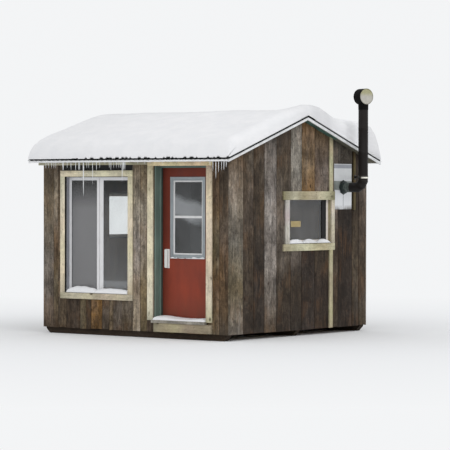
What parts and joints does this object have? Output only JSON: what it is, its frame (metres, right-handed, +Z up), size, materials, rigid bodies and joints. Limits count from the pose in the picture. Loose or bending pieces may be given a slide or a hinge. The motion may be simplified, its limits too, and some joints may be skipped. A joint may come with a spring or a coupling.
{
  "type": "ice fishing hut",
  "caption": "Small wooden hut on runners for ice fishing, with a snow-covered gable roof, a tall front window, a recessed door that swings in, and a stovepipe through the gable.",
  "frame": {"origin": "middle of the underside of the middle runner, on the ground", "axes": "+X along the ridge towards the gable with the stovepipe, -Y out of the front with the door, +Z up"},
  "size_m": [3.6133, 3.3692, 3.201],
  "materials": {
    "runner_wood": "weathered dark timber",
    "frame_wood": "rough sawn lumber",
    "floor_wood": "worn floor boards",
    "wall_core": "sheathed and lined stud wall",
    "siding_wood": "weathered rough boards",
    "roof_boards": "green painted boards",
    "roof_metal": "corrugated roofing sheet",
    "white_boards": "white paint",
    "snow": null,
    "new_lumber": "new unfinished lumber",
    "window_white": "white vinyl",
    "window_pane": "clear glass",
    "door_green": "worn green paint",
    "sill_wood": "worn board",
    "door_red": "red brown paint",
    "door_window_grey": "blue grey plastic",
    "door_sash_white": "white",
    "handle_metal": "satin",
    "hinge_metal": "satin",
    "shield_metal": "scrap sheet",
    "collar_metal": "dark grey",
    "pipe_black": "matt black stovepipe",
    "bracket_metal": "galvanised",
    "cap_plate": "cream with rust stains"
  },
  "bodies": {
    "hut": {"runners": "runner_wood", "rim_joists": "frame_wood", "floor_joists": "frame_wood", "rafters": "frame_wood", "ridge_board": "frame_wood", "floor_deck": "floor_wood", "front_wall_left": "wall_core", "front_wall_right": "wall_core", "front_wall_over_door": "wall_core", "back_wall": "wall_core", "right_gable_wall": "wall_core", "left_gable_wall": "wall_core", "front_siding_left": "siding_wood", "front_siding_right": "siding_wood", "front_siding_at_door": "siding_wood", "back_siding": "siding_wood", "right_gable_siding": "siding_wood", "left_gable_siding": "siding_wood", "roof_deck": "roof_boards", "roof_steel": "roof_metal", "ridge_cap": "roof_metal", "fascia_boards": "white_boards", "roof_snow": "snow", "frieze_board": "new_lumber", "front_window_trim": "new_lumber", "gable_window_trims": "new_lumber", "gable_battens": "new_lumber", "door_trim": "new_lumber", "front_window_frame": "window_white", "gable_window_frames": "window_white", "window_glass": "window_pane", "door_jambs": "door_green", "door_head": "door_green", "door_sill": "sill_wood", "hinge_frame_leaves": "hinge_metal", "pipe_shield": "shield_metal", "pipe_collar": "collar_metal", "stovepipe_elbow": "pipe_black", "stovepipe_upright": "pipe_black", "pipe_cap": "pipe_black", "pipe_bracket": "bracket_metal", "pipe_cap_end": "cap_plate"},
    "door": {"door_slab": "door_red", "door_window_frame": "door_window_grey", "door_window_sash": "door_sash_white", "door_glass": "window_pane", "door_handle": "handle_metal", "hinge_door_leaves": "hinge_metal"}
  },
  "joints": [
    {"name": "door_hinge", "type": "hinge", "parent": "hut", "child": "door", "pos_m": [1.1995, -1.309, 1.2045], "axis": [0, 0, -1], "range_deg": [0, 95]}
  ]
}
